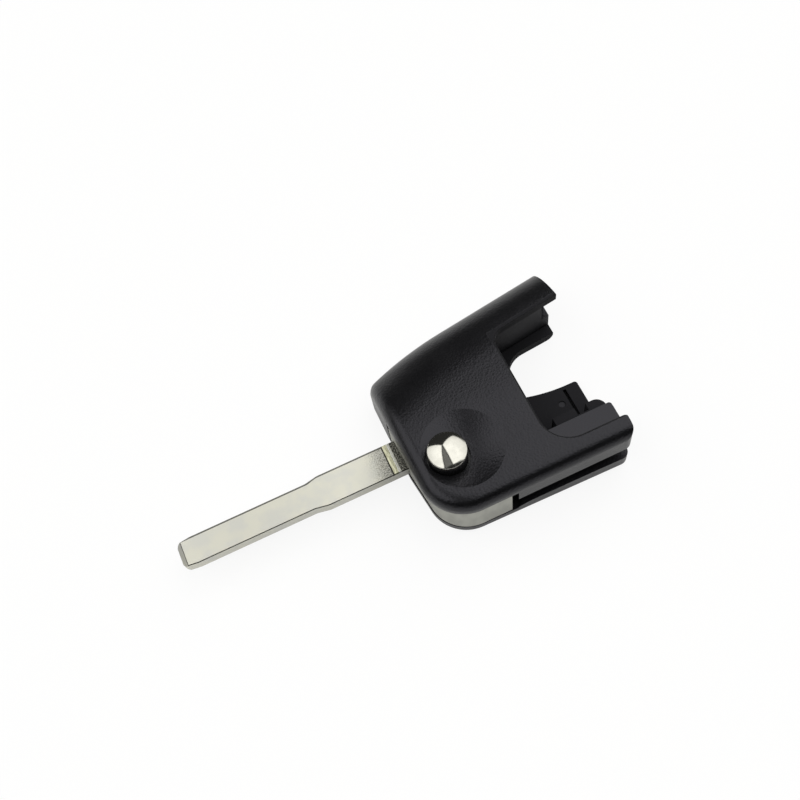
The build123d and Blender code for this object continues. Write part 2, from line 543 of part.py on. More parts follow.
with BuildPart() as key_blade:
    with BuildSketch(Plane.XY.offset(BLADE_BOTTOM_Z)) as blade_plan:
        with BuildLine():
            Polyline(
                (-BLADE_TIP_X, BLADE_LINE_Y),
                (-BLADE_TIP_X, BLADE_LINE_Y + BLADE_NARROW / 2 - TIP_TAPER_DEPTH),
                (-BLADE_TIP_X + TIP_TAPER, BLADE_LINE_Y + BLADE_NARROW / 2),
                (-BLADE_STEP_X, BLADE_LINE_Y + BLADE_NARROW / 2),
                (-BLADE_STEP_X + BLADE_STEP_LENGTH, BLADE_LINE_Y + BLADE_WIDE / 2),
                (shoulder_x, BLADE_LINE_Y + BLADE_WIDE / 2),
                (shoulder_x, BLADE_LINE_Y),
                close=True,
            )
        make_face()
        mirror(about=Plane.XZ.offset(-BLADE_LINE_Y))
        step_mid = BLADE_STEP_LENGTH / 2 - BLADE_STEP_X
        stepped = [point for point in blade_plan.vertices() if abs(point.X - step_mid) < BLADE_STEP_LENGTH]
        fillet(stepped, radius=BLADE_STEP_LENGTH)
        fillet(blade_plan.vertices().sort_by(Axis.X)[:2], radius=TIP_CORNER_R)
        tang_start = shoulder_x - SHOULDER_DEPTH / 2
        add(block_plan(tang_start, tang_end, tang_y - TANG_WIDTH / 2, tang_y + TANG_WIDTH / 2))
    extrude(amount=BLADE_THICK)
    chamfer(
        key_blade.edges().filter_by(Plane.XY).filter_by_position(Axis.X, -BLADE_TIP_X, -BEAD_X - BEAD_WIDTH),
        length=BLADE_EDGE,
    )
    with BuildSketch(Plane.XZ):
        tip_drop = (TIP_BEVEL + BEYOND) * math.tan(math.radians(TIP_BEVEL_ANGLE))
        for face_z, outward in [(BLADE_TOP_Z, 1), (BLADE_BOTTOM_Z, -1)]:
            with BuildLine():
                Polyline(
                    (-BLADE_TIP_X - BEYOND, face_z - outward * tip_drop),
                    (-BLADE_TIP_X - BEYOND, face_z + outward * BEYOND),
                    (-BLADE_TIP_X + TIP_BEVEL, face_z + outward * BEYOND),
                    (-BLADE_TIP_X + TIP_BEVEL, face_z),
                    close=True,
                )
            make_face()
    extrude(amount=2 * BLADE_LINE_Y, both=True, mode=Mode.SUBTRACT)
    with BuildSketch(Plane.XZ.offset(-BLADE_LINE_Y)):
        for face_z, outward in [(BLADE_TOP_Z, 1), (BLADE_BOTTOM_Z, -1)]:
            with BuildLine():
                bead_foot = Line((-BEAD_X - BEAD_WIDTH / 2, face_z), (-BEAD_X + BEAD_WIDTH / 2, face_z))
                ThreePointArc(bead_foot @ 0, (-BEAD_X, face_z + outward * BEAD_RISE), bead_foot @ 1)
            make_face()
    extrude(amount=BLADE_WIDE / 2 - BLADE_EDGE, both=True)
    with BuildSketch(Plane.XY.offset(BLADE_BOTTOM_Z)):
        with Locations((-PIN_X, tang_y)):
            Circle(PIN_R + SEAT_GAP)
    extrude(amount=BLADE_THICK, mode=Mode.SUBTRACT)
key_blade.part.label = "key_blade"

with BuildPart() as blade_roll_pin:
    with BuildSketch(Plane.XY.offset(HUB_BOTTOM_Z + PIN_INSET)):
        with Locations((-PIN_X, tang_y)):
            Circle(PIN_R)
            Circle(PIN_R - PIN_WALL, mode=Mode.SUBTRACT)
        slot_end = -PIN_X + 2 * PIN_R
        add(block_plan(-PIN_X, slot_end, tang_y - PIN_SLOT / 2, tang_y + PIN_SLOT / 2), mode=Mode.SUBTRACT)
    extrude(amount=HUB_HEIGHT - 2 * PIN_INSET)
blade_roll_pin.part.label = "blade_roll_pin"

with BuildPart() as release_button:
    with BuildSketch(Plane.XZ):
        with BuildLine():
            Polyline(
                (0, CEILING_Z),
                (BUTTON_R - BUTTON_WALL, CEILING_Z),
                (BUTTON_R - BUTTON_WALL, SKIRT_BOTTOM_Z),
                (GUIDE_R, SKIRT_BOTTOM_Z),
                (GUIDE_R, LUG_TOP_Z),
                (BUTTON_R, LUG_TOP_Z),
                (BUTTON_R, BUTTON_RIM_Z),
            )
            dome_radius = (BUTTON_R**2 + DOME_RISE**2) / (2 * DOME_RISE)
            RadiusArc((BUTTON_R, BUTTON_RIM_Z), (0, BUTTON_RIM_Z + DOME_RISE), -dome_radius)
            Line((0, BUTTON_RIM_Z + DOME_RISE), (0, CEILING_Z))
        make_face()
    revolve(axis=Axis.Z)
    rim = release_button.edges().filter_by(GeomType.CIRCLE).sort_by_distance((0, BUTTON_R, BUTTON_RIM_Z))[0]
    fillet(rim, radius=EDGE_BREAK)
    with BuildSketch(Plane.XY.offset(LUG_BOTTOM_Z)):
        with PolarLocations(GUIDE_R, LUG_COUNT, start_angle=45):
            Rectangle(2 * LUG_REACH, LUG_WIDTH)
        Circle(GUIDE_R - BUTTON_WALL, mode=Mode.SUBTRACT)
    extrude(amount=LUG_HEIGHT)
release_button.part.label = "release_button"

with BuildPart() as flip_spring:
    spring_start = SEAT_TOP_Z + WIRE_R + SPRING_GAP
    spring_height = CEILING_Z - SEAT_TOP_Z - 2 * (WIRE_R + SPRING_GAP)
    with BuildLine() as coil:
        Helix(spring_height / SPRING_TURNS, spring_height, SPRING_R, center=(0, 0, spring_start))
    with BuildSketch(Plane(origin=coil.line @ 0, z_dir=coil.line % 0)):
        Circle(WIRE_R)
    sweep(is_frenet=True)
flip_spring.part.label = "flip_spring"

with BuildPart() as spring_seat:
    with BuildSketch():
        Circle(SEAT_HEAD_R)
    extrude(amount=SEAT_HEAD_THICK)
    with BuildSketch():
        Circle(SEAT_BODY_R)
        with Locations((SEAT_BODY_R, 0)):
            Rectangle(SEAT_KEY, SEAT_KEY)
    extrude(amount=SEAT_TOP_Z)
    with BuildSketch():
        Circle(SEAT_POST_R)
    extrude(amount=SEAT_POST_TOP)
    chamfer(spring_seat.edges().sort_by(Axis.Z)[-1], length=EDGE_BREAK)
    with BuildSketch():
        with PolarLocations(SPANNER_HOLE_X, 2):
            Circle(SPANNER_HOLE_R)
    extrude(amount=SPANNER_HOLE_DEPTH, mode=Mode.SUBTRACT)
spring_seat.part.label = "spring_seat"

with BuildPart() as closing_screw:
    with BuildSketch(Plane.XY.offset(SCREW_HEAD_RECESS)):
        with Locations((SCREW_X, SCREW_Y)):
            Circle(SCREW_HEAD_R)
    extrude(amount=SCREW_HEAD_THICK)
    with BuildSketch(Plane.XY.offset(SCREW_HEAD_RECESS + SCREW_HEAD_THICK)):
        with Locations((SCREW_X, SCREW_Y)):
            Circle(SCREW_R)
    extrude(amount=SCREW_LENGTH)
    chamfer(closing_screw.edges().sort_by(Axis.Z)[-1], length=SCREW_R / 2)
    with BuildSketch(Plane.XY.offset(SCREW_HEAD_RECESS)):
        with Locations((SCREW_X, SCREW_Y)):
            Rectangle(2 * SCREW_R, CROSS_WIDTH)
            Rectangle(CROSS_WIDTH, 2 * SCREW_R)
    extrude(amount=CROSS_DEPTH, mode=Mode.SUBTRACT)
closing_screw.part.label = "closing_screw"

pieces = [
    upper_shell,
    lower_shell,
    blade_hub,
    key_blade,
    blade_roll_pin,
    release_button,
    flip_spring,
    spring_seat,
    closing_screw,
]

os.makedirs("parts", exist_ok=True)
for piece in pieces:
    export_step(piece.part, "parts/" + piece.part.label + ".step")
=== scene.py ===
import json
import math

import bpy
from mathutils import Matrix, Vector


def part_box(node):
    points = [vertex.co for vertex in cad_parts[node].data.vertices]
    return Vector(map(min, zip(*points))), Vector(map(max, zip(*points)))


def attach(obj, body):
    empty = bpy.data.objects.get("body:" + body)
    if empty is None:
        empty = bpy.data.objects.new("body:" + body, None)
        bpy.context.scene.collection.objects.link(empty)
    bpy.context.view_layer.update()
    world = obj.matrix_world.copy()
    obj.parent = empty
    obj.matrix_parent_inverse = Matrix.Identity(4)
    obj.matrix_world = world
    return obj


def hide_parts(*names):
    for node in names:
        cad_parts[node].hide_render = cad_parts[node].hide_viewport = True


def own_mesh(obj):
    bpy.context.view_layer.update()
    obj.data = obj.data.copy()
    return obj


bl_info = {
    "name": "Flip-key head",
    "version": (1, 0, 0),
    "blender": (4, 5, 0),
    "location": "View3D > Sidebar > Flip-key head",
    "description": "Finishes the flip-key head and sets up its studio",
    "category": "Object",
}

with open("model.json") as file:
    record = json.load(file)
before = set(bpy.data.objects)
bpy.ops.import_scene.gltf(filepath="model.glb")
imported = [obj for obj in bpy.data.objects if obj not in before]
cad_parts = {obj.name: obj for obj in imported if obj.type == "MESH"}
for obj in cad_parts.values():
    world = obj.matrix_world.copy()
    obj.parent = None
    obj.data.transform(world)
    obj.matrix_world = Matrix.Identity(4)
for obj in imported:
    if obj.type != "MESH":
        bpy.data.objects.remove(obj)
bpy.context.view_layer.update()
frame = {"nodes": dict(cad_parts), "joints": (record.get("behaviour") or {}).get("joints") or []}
NODES = frame["nodes"]
MM = 0.001
WHITE = (1.0, 1.0, 1.0, 1.0)


# Node building


class Value:
    """Output of a node. Arithmetic on it adds Math nodes."""

    def __init__(self, graph, socket):
        self.graph = graph
        self.socket = socket

    def math(self, operation, *terms):
        return self.graph.add("ShaderNodeMath", {"operation": operation}, *terms)

    def __add__(self, other):
        return self.math("ADD", self, other)

    __radd__ = __add__

    def __sub__(self, other):
        return self.math("SUBTRACT", self, other)

    def __rsub__(self, other):
        return self.math("SUBTRACT", other, self)

    def __mul__(self, other):
        return self.math("MULTIPLY", self, other)

    __rmul__ = __mul__

    def __truediv__(self, other):
        return self.math("DIVIDE", self, other)

    def __pow__(self, other):
        return self.math("POWER", self, other)

    def at_most(self, other):
        return self.math("MINIMUM", self, other)

    def at_least(self, other):
        return self.math("MAXIMUM", self, other)

    def ramp(self, start, end, low=0.0, high=1.0):
        """Eased change from low to high as the value goes from start to end."""
        return self.graph.add(
            "ShaderNodeMapRange",
            {"interpolation_type": "SMOOTHSTEP"},
            Value=self,
            From_Min=start,
            From_Max=end,
            To_Min=low,
            To_Max=high,
        )

    def band(self, start, full, last, end):
        """1 from full to last, easing to 0 at start and at end."""
        return self.ramp(start, full) * self.ramp(end, last)


class Graph:
    """Node tree with one method that adds any node."""

    def __init__(self, tree):
        self.tree = tree

    def add(self, kind, settings=None, *terms, out=0, **inputs):
        """Adds a node, makes its settings, then feeds its sockets in order and by name."""
        node = self.tree.nodes.new(kind)
        for name, setting in (settings or {}).items():
            setattr(node, name, setting)
        for index, term in enumerate(terms):
            self.feed(node.inputs[index], term)
        for name, term in inputs.items():
            self.feed(self.input(node, name.replace("_", " ")), term)
        return Value(self, node.outputs[out]) if node.outputs else node

    def input(self, node, name):
        return next(s for s in node.inputs if s.name == name and s.enabled)

    def feed(self, socket, term):
        if isinstance(term, Value):
            self.tree.links.new(term.socket, socket)
        else:
            socket.default_value = term


def blank_material(name):
    material = bpy.data.materials.new(name)
    material.use_nodes = True
    material.node_tree.nodes.clear()
    return material


class Finish(Graph):
    """Material on Object coordinates. Its x, y and z and all its lengths are in millimetres."""

    def __init__(self, name):
        self.material = blank_material(name)
        super().__init__(self.material.node_tree)
        self.place = self.add("ShaderNodeTexCoord", out="Object")
        self.x, self.y, self.z = (
            self.add("ShaderNodeSeparateXYZ", None, self.place, out=axis) / MM for axis in "XYZ"
        )

    def from_axis(self, x, y):
        """Distance from an upright axis."""
        return ((self.x - x) ** 2.0 + (self.y - y) ** 2.0) ** 0.5

    def stretched(self, scale):
        """Object coordinates scaled by a different amount along each axis."""
        return self.add("ShaderNodeMapping", None, Vector=self.place, Scale=scale)

    def pushed(self, scale, reach):
        """Object coordinates moved about by a noise."""
        noise = self.add("ShaderNodeTexNoise", None, out="Color", Vector=self.place, Scale=scale)
        steps = (reach * MM,) * 3
        return self.add("ShaderNodeVectorMath", {"operation": "MULTIPLY_ADD"}, noise, steps, self.place)

    def noise(self, size, detail=2.0, roughness=0.5, place=None):
        return self.add(
            "ShaderNodeTexNoise",
            None,
            Vector=place or self.place,
            Scale=1.0 / (size * MM),
            Detail=detail,
            Roughness=roughness,
        )

    def cells(self, size, place=None):
        return self.add(
            "ShaderNodeTexVoronoi",
            {"feature": "SMOOTH_F1"},
            Vector=place or self.place,
            Scale=1.0 / (size * MM),
            Smoothness=0.6,
        )

    def mixed(self, factor, first, second):
        """Colour between two colours."""
        node = self.tree.nodes.new("ShaderNodeMix")
        node.data_type = "RGBA"
        self.feed(node.inputs["Factor"], factor)
        for name, colour in (("A", first), ("B", second)):
            socket = next(s for s in node.inputs if s.name == name and s.type == "RGBA")
            if isinstance(colour, Value):
                self.tree.links.new(colour.socket, socket)
            else:
                socket.default_value = (*colour, 1.0)
        return Value(self, next(s for s in node.outputs if s.type == "RGBA"))

    def bump(self, height, distance, under=None):
        """Relief whose height of 1 stands for the distance, on top of the relief under it."""
        inputs = {"Height": height, "Strength": 1.0, "Distance": distance * MM}
        if under is not None:
            inputs["Normal"] = under
        return self.add("ShaderNodeBump", None, **inputs)

    def shade(self, **inputs):
        """Principled surface. What stays the same all over is set on the socket itself."""
        shader = self.add("ShaderNodeBsdfPrincipled", None, **inputs)
        self.add("ShaderNodeOutputMaterial", None, Surface=shader)
        return self.material


def scaled(colour, *factors):
    """Colour times one factor, or times a factor for each channel."""
    return tuple(c * f for c, f in zip(colour, factors * (3 // len(factors))))


def wear_finish(obj, material):
    """Gives a piece one finish all over."""
    obj.data.materials.clear()
    obj.data.materials.append(material)


def plain_mesh(name, source):
    """Plain mesh of an object with its modifiers applied. The source is removed."""
    depsgraph = bpy.context.evaluated_depsgraph_get()
    mesh = bpy.data.meshes.new_from_object(source.evaluated_get(depsgraph))
    old = source.data
    bpy.data.objects.remove(source)
    bpy.data.meshes.remove(old)
    obj = bpy.data.objects.new(name, mesh)
    mesh.name = name
    bpy.context.scene.collection.objects.link(obj)
    return obj


def grown(name, tree, sizes):
    """Plain mesh that a geometry tree makes from the named sizes."""
    obj = bpy.data.objects.new(name, bpy.data.meshes.new(name))
    bpy.context.scene.collection.objects.link(obj)
    modifier = obj.modifiers.new("Shape", "NODES")
    modifier.node_group = tree
    for item in tree.interface.items_tree:
        if item.item_type == "SOCKET" and item.in_out == "INPUT" and item.name in sizes:
            modifier[item.identifier] = sizes[item.name]
    return plain_mesh(name, obj)


def coil_tree(material):
    """Spiral of wire or thread whose end turns may close up, swept with a many-sided section."""
    tree = bpy.data.node_groups.new("Coil", "GeometryNodeTree")
    tree.is_modifier = True
    for name, kind in (
        ("Coil Radius", "NodeSocketFloat"),
        ("Section Radius", "NodeSocketFloat"),
        ("Turns", "NodeSocketFloat"),
        ("Height", "NodeSocketFloat"),
        ("Base", "NodeSocketFloat"),
        ("Closed Share", "NodeSocketFloat"),
        ("Section Sides", "NodeSocketInt"),
        ("Steps", "NodeSocketInt"),
        ("Centre", "NodeSocketVector"),
    ):
        tree.interface.new_socket(name, in_out="INPUT", socket_type=kind)
    tree.interface.new_socket("Geometry", in_out="OUTPUT", socket_type="NodeSocketGeometry")
    graph = Graph(tree)
    entry = tree.nodes.new("NodeGroupInput")
    size = {s.name: Value(graph, s) for s in entry.outputs if s.name}
    spiral = graph.add(
        "GeometryNodeCurveSpiral",
        None,
        Resolution=size["Steps"],
        Rotations=size["Turns"],
        Start_Radius=size["Coil Radius"],
        End_Radius=size["Coil Radius"],
        Height=0.0,
    )
    along = graph.add("GeometryNodeSplineParameter", out="Factor")
    closed = size["Closed Share"]
    flat = 2.0 * size["Section Radius"]

    def rise(start, end, height):
        return graph.add("ShaderNodeMapRange", None, along, start, end, 0.0, height)

    first_turn = rise(0.0, closed, flat)
    open_turns = rise(closed, 1.0 - closed, size["Height"] - 2.0 * flat)
    last_turn = rise(1.0 - closed, 1.0, flat)
    height = size["Base"] + first_turn + open_turns + last_turn
    lift = graph.add("ShaderNodeCombineXYZ", None, 0.0, 0.0, height)
    shift = graph.add("ShaderNodeVectorMath", {"operation": "ADD"}, lift, size["Centre"])
    placed = graph.add("GeometryNodeSetPosition", None, Geometry=spiral, Offset=shift)
    section = graph.add(
        "GeometryNodeCurvePrimitiveCircle",
        {"mode": "RADIUS"},
        Resolution=size["Section Sides"],
        Radius=size["Section Radius"],
    )
    swept = graph.add("GeometryNodeCurveToMesh", None, Curve=placed, Profile_Curve=section, Fill_Caps=True)
    smooth = graph.add("GeometryNodeSetShadeSmooth", None, Geometry=swept, Shade_Smooth=True)
    real = graph.add("GeometryNodeRealizeInstances", None, Geometry=smooth)
    dressed = graph.add("GeometryNodeSetMaterial", None, Geometry=real, Material=material)
    leave = tree.nodes.new("NodeGroupOutput")
    tree.links.new(dressed.socket, leave.inputs["Geometry"])
    return tree


# Sizes and colours that a user would change


class ShellFinish(bpy.types.PropertyGroup):
    colour: bpy.props.FloatVectorProperty(
        name="Plastic colour", description="Colour of the moulded covers", subtype="COLOR",
        size=3, min=0.0, max=1.0, default=(0.003, 0.003, 0.0034),
    )
    grain: bpy.props.FloatProperty(
        name="Grain size", description="Width of one pebble of the grained top",
        unit="LENGTH", default=0.4 * MM, min=0.05 * MM,
    )
    depth: bpy.props.FloatProperty(
        name="Grain depth", description="Height of the grain above its valleys",
        unit="LENGTH", default=0.021 * MM, min=0.0,
    )
    roughness: bpy.props.FloatProperty(
        name="Roughness", description="Roughness of the grained plastic", default=0.26, min=0.0, max=1.0,
    )


class MetalFinish(bpy.types.PropertyGroup):
    blade: bpy.props.FloatVectorProperty(
        name="Blade colour", description="Colour of the nickel plating", subtype="COLOR",
        size=3, min=0.0, max=1.0, default=(0.61, 0.6, 0.53),
    )
    hub: bpy.props.FloatVectorProperty(
        name="Hub colour", description="Colour of the die-cast hub", subtype="COLOR",
        size=3, min=0.0, max=1.0, default=(0.42, 0.42, 0.385),
    )
    button: bpy.props.FloatVectorProperty(
        name="Button colour", description="Colour of the polished button", subtype="COLOR",
        size=3, min=0.0, max=1.0, default=(0.5, 0.49, 0.45),
    )
    steel: bpy.props.FloatVectorProperty(
        name="Steel colour", description="Colour of the spring and the roll pin", subtype="COLOR",
        size=3, min=0.0, max=1.0, default=(0.48, 0.48, 0.49),
    )
    screw: bpy.props.FloatVectorProperty(
        name="Screw colour", description="Colour of the screw's zinc plating", subtype="COLOR",
        size=3, min=0.0, max=1.0, default=(0.66, 0.66, 0.63),
    )


class CoilSizes(bpy.types.PropertyGroup):
    turns: bpy.props.FloatProperty(
        name="Spring turns", description="Turns of the spring, closed ends included", default=7.5, min=2.0,
    )
    pitch: bpy.props.FloatProperty(
        name="Thread pitch", description="Distance between two turns of the screw's thread",
        unit="LENGTH", default=0.8 * MM, min=0.2 * MM,
    )
    ridge: bpy.props.FloatProperty(
        name="Thread ridge", description="Half width of the screw's thread ridge",
        unit="LENGTH", default=0.16 * MM, min=0.02 * MM,
    )


class StudioSetup(bpy.types.PropertyGroup):
    distance: bpy.props.FloatProperty(
        name="Camera distance", description="From the point that the camera looks at",
        unit="LENGTH", default=0.2, min=0.05,
    )
    elevation: bpy.props.FloatProperty(
        name="Elevation", description="Camera angle above the table", subtype="ANGLE",
        default=math.radians(63.9),
    )
    azimuth: bpy.props.FloatProperty(
        name="Azimuth", description="Camera angle round the head", subtype="ANGLE",
        default=math.radians(-12.4),
    )
    roll: bpy.props.FloatProperty(
        name="Roll", description="Turn of the camera about its own axis", subtype="ANGLE",
        default=math.radians(-13.2),
    )
    target: bpy.props.FloatVectorProperty(
        name="Target", description="Point that the camera looks at", subtype="TRANSLATION",
        size=3, default=(-2.52 * MM, 17.07 * MM, 7.0 * MM),
    )
    lens: bpy.props.FloatProperty(
        name="Focal length", description="Focal length on a 36 mm wide sensor, in millimetres", default=46.8,
    )
    right_box: bpy.props.FloatProperty(
        name="Right soft box", description="Brightness of the soft box on the right", default=1.9, min=0.0,
    )
    left_box: bpy.props.FloatProperty(
        name="Left soft box", description="Brightness of the soft box on the left", default=1.9, min=0.0,
    )
    room: bpy.props.FloatProperty(
        name="Room", description="Brightness of the room round the table", default=0.04, min=0.0,
    )
    ceiling: bpy.props.FloatProperty(
        name="Ceiling strip", description="Brightness of the ceiling between the soft boxes",
        default=0.25, min=0.0,
    )


SETTINGS = {"shells": ShellFinish, "metal": MetalFinish, "coils": CoilSizes, "studio": StudioSetup}


def settings(context, name):
    return getattr(context.scene, "flip_key_" + name)


# Pieces. A pair of places is the start and the end of a change, in millimetres.


class FLIPKEY_OT_shells(bpy.types.Operator):
    """Grained black plastic on both covers and on the spring's seat"""

    bl_idname = "flipkey.shells"
    bl_label = "Covers"

    BAY_FRONT = (17.1, 17.25)
    BAY_NEAR = (-7.75, -7.6)
    BAY_FAR = (16.9, 16.7)
    BAY_FAR_LEAN = 0.14
    BAY_RIM = (13.985, 13.965)
    BAY_LEDGE = (10.85, 10.95, 11.05, 11.15)
    EJECTOR_AXIS = (25.8, 4.3)
    EJECTOR_EDGE = (0.6, 0.7)
    DISH_AXIS = (2.95, 0.0)
    DISH_RADIUS = 7.7
    DISH_DEPTH = 1.35
    DISH_HEIGHT = (12.0, 12.4)
    SOFT_RADIUS = 8.2
    CROWN = (4.0, 21.0)
    CROWN_DROP = 1.7
    GRAIN_PUSH = {"scale": 900.0, "reach": 0.18}

    def execute(self, context):
        setup = settings(context, "shells")
        wear_finish(NODES["upper_shell"], self.moulded_plastic("Grained top cover", setup, shaped=True))
        material = self.moulded_plastic("Grained lower cover", setup)
        for node in ("lower_shell", "spring_seat"):
            wear_finish(NODES[node], material)
        return {"FINISHED"}

    def moulded_plastic(self, name, setup, shaped=False):
        """Leather-like grain outside, plain in the bay, and duller there than on its ledge."""
        finish = Finish(name)
        x, y, z = finish.x, finish.y, finish.z
        between = y.ramp(*self.BAY_NEAR) * (y - x * self.BAY_FAR_LEAN).ramp(*self.BAY_FAR)
        inside = x.ramp(*self.BAY_FRONT) * between * z.ramp(*self.BAY_RIM)
        ejector = finish.from_axis(*self.EJECTOR_AXIS).ramp(*self.EJECTOR_EDGE, 0.55, 1.0)
        dull = inside * (1.0 - z.band(*self.BAY_LEDGE)) * ejector
        pebbles = finish.cells(setup.grain / MM, finish.pushed(**self.GRAIN_PUSH))
        fine = finish.noise(0.16)
        grain = (pebbles * 1.4 + fine * 0.5) * (1.0 - inside * 0.85)
        form = finish.bump(self.dish_edge(finish) - self.crown(finish), 1.0) if shaped else None
        normal = finish.bump(grain, setup.depth / MM, under=form)
        tone = finish.noise(6.0).ramp(0.3, 0.7)
        patch = finish.noise(1.6, detail=1.0).ramp(0.35, 0.65)
        base = tuple(setup.colour)
        colour = finish.mixed(tone * 0.6 + patch * 0.4, scaled(base, 0.86), scaled(base, 1.18))
        roughness = setup.roughness + fine * 0.08 - inside * 0.1 + dull * 0.6 + tone * 0.03
        return finish.shade(
            Base_Color=colour,
            Roughness=roughness,
            Normal=normal,
            Specular_IOR_Level=0.35,
            Specular_Tint=(0.89, 0.88, 0.99, 1.0),
        )

    def crown(self, finish):
        """Drop that eases the flat top into the roll of the far side."""
        return finish.y.ramp(*self.CROWN, 0.0, self.CROWN_DROP)

    def dish_edge(self, finish):
        """Height that turns the soft hollow round the button into a bowl with a firm edge."""
        out = finish.from_axis(*self.DISH_AXIS)
        bowl = ((out / self.DISH_RADIUS) ** 2.0 - 1.0).at_most(0.0)
        hollow = out.ramp(0.0, self.SOFT_RADIUS, -1.0, 0.0)
        return (bowl - hollow) * self.DISH_DEPTH * finish.z.ramp(*self.DISH_HEIGHT)


class FLIPKEY_OT_blade(bpy.types.Operator):
    """Nickel plating on the blade"""

    bl_idname = "flipkey.blade"
    bl_label = "Blade"

    STEP = (-25.7, -23.1)
    HALF_WIDTHS = (2.725, 3.225)
    MIDDLE = 6.65
    # Painted shade along the far top edge: its place in from that edge, and its heights
    FAR_EDGE = (-0.42, -0.34)
    FAR_EDGE_HEIGHT = (6.8, 6.9)
    GREYED = (-20.0, -10.3)
    MOTTLED = (-15.0, -10.2)
    TO_NEAR_SIDE = (9.5, 3.6)
    # Places along the blade of the painted shade in the crease at the bead's foot
    BEAD_FOOT = (-10.0, -9.93, -9.73, -9.66)
    BEAD = (-9.8, -9.7)
    # Places along the blade of the painted highlight on the bead's slope towards the hub
    BEAD_CREST = (-8.85, -8.72, -8.34, -8.26)
    # Start of the recessed neck towards the hub, which is painted with shade
    NECK = (-8.4, -8.2)
    UPPER_FACE = (6.75, 6.85)
    # Heights of the chamfers, painted with shade along both top edges
    ARRIS = (6.86, 6.89, 6.97, 6.99)
    # Near-white colour of that painted highlight
    CREST_COLOUR = (0.98, 0.98, 0.96)

    def execute(self, context):
        wear_finish(NODES["key_blade"], self.nickel(tuple(settings(context, "metal").blade)))
        return {"FINISHED"}

    def nickel(self, base):
        """Bright plating, faintly rippled along the blade and mottled towards its bead, with painted shade
        in the recessed neck, at the bead's foot and along the top edges, and a painted highlight on the
        bead.
        """
        finish = Finish("Nickel plating")
        x, y, z = finish.x, finish.y, finish.z
        face = z.ramp(*self.UPPER_FACE)
        greyed = x.ramp(*self.GREYED)
        mottled = x.ramp(*self.MOTTLED) * face
        # Painted shade in the crease at the bead's foot
        foot = x.band(*self.BEAD_FOOT) * face
        bead = x.ramp(*self.BEAD)
        # Painted highlight on the bead's slope towards the hub
        painted_highlight = x.band(*self.BEAD_CREST) * face
        # Painted shade in the recessed neck by the hub
        neck = x.ramp(*self.NECK) * face
        near = y.ramp(*self.TO_NEAR_SIDE)
        half_width = x.ramp(*self.STEP, *self.HALF_WIDTHS)
        # Painted shade: dark lines along the far top edge and on the chamfers
        far_edge_shade = (y - self.MIDDLE - half_width).ramp(*self.FAR_EDGE) * z.ramp(*self.FAR_EDGE_HEIGHT)
        chamfer_shade = z.band(*self.ARRIS)
        cloud = finish.noise(3.5, detail=3.0).ramp(0.35, 0.65)
        blotches = finish.noise(0.26, detail=4.0, roughness=0.75)
        drawn = finish.noise(0.2, place=finish.stretched((1.0, 0.15, 1.0))).ramp(0.35, 0.65)
        ripple = finish.noise(0.5, place=finish.stretched((0.25, 1.0, 1.0)))
        grit = finish.noise(0.12, detail=1.0)
        speckle = blotches.ramp(0.5, 0.57) * mottled * (1.0 - bead)
        shade = mottled * mottled * (0.12 + near * 0.15 + blotches.ramp(0.35, 0.6) * 0.5)
        dulled = scaled(base, 0.55)
        dark = scaled(base, 0.12)
        # Near-black colour of the painted shade in the neck and at the bead's foot
        black = scaled(base, 0.04)
        streaks = finish.mixed(drawn, scaled(base, 0.48, 0.48, 0.38), scaled(base, 0.72, 0.72, 0.6))
        layers = (
            (greyed * (0.2 + near * 0.3), dulled),
            (speckle * (0.4 + near * 0.3), dark),
            (shade, dark),
            (bead * face, streaks),
            # painted shade at the bead's foot, broken by blotches
            (foot * blotches.ramp(0.25, 0.45), black),
            # painted shade in the neck, broken by lighter blotches
            (neck, finish.mixed(blotches.ramp(0.46, 0.64), black, dulled)),
            # painted highlight on the bead
            (painted_highlight, self.CREST_COLOUR),
            # painted shade along the top edges, in the dark colour
            ((chamfer_shade * 0.8).at_least(far_edge_shade * (1.0 - bead) * 0.9), dark),
        )
        colour = finish.mixed(cloud, base, scaled(base, 0.93, 0.94, 0.99))
        for cover, tone in layers:
            colour = finish.mixed(cover, colour, tone)
        roughness = 0.33 + ripple * 0.05 + speckle * 0.1 + neck * 0.1
        normal = finish.bump(ripple * 0.25 + grit * 0.1 + speckle * 0.5 + neck * blotches, 0.005)
        return finish.shade(Base_Color=colour, Metallic=1.0, Roughness=roughness, Normal=normal)


class FLIPKEY_OT_hub(bpy.types.Operator):
    """Bare die-cast metal on the hub"""

    bl_idname = "flipkey.hub"
    bl_label = "Hub"

    def execute(self, context):
        wear_finish(NODES["blade_hub"], self.cast_metal(tuple(settings(context, "metal").hub)))
        return {"FINISHED"}

    def cast_metal(self, base):
        """Tumbled casting: satin, with faint flow marks and small pits."""
        finish = Finish("Die-cast zinc")
        flow = finish.noise(2.4, detail=3.0, place=finish.stretched((1.0, 1.0, 0.5)))
        pits = finish.cells(0.5).ramp(0.02, 0.2)
        grit = finish.noise(0.1)
        colour = finish.mixed(flow.ramp(0.35, 0.65), scaled(base, 0.84), base)
        roughness = 0.46 + flow * 0.1 + grit * 0.06
        normal = finish.bump(pits * 0.3 + grit * 0.35 + flow * 0.5, 0.01)
        return finish.shade(Base_Color=colour, Metallic=1.0, Roughness=roughness, Normal=normal)


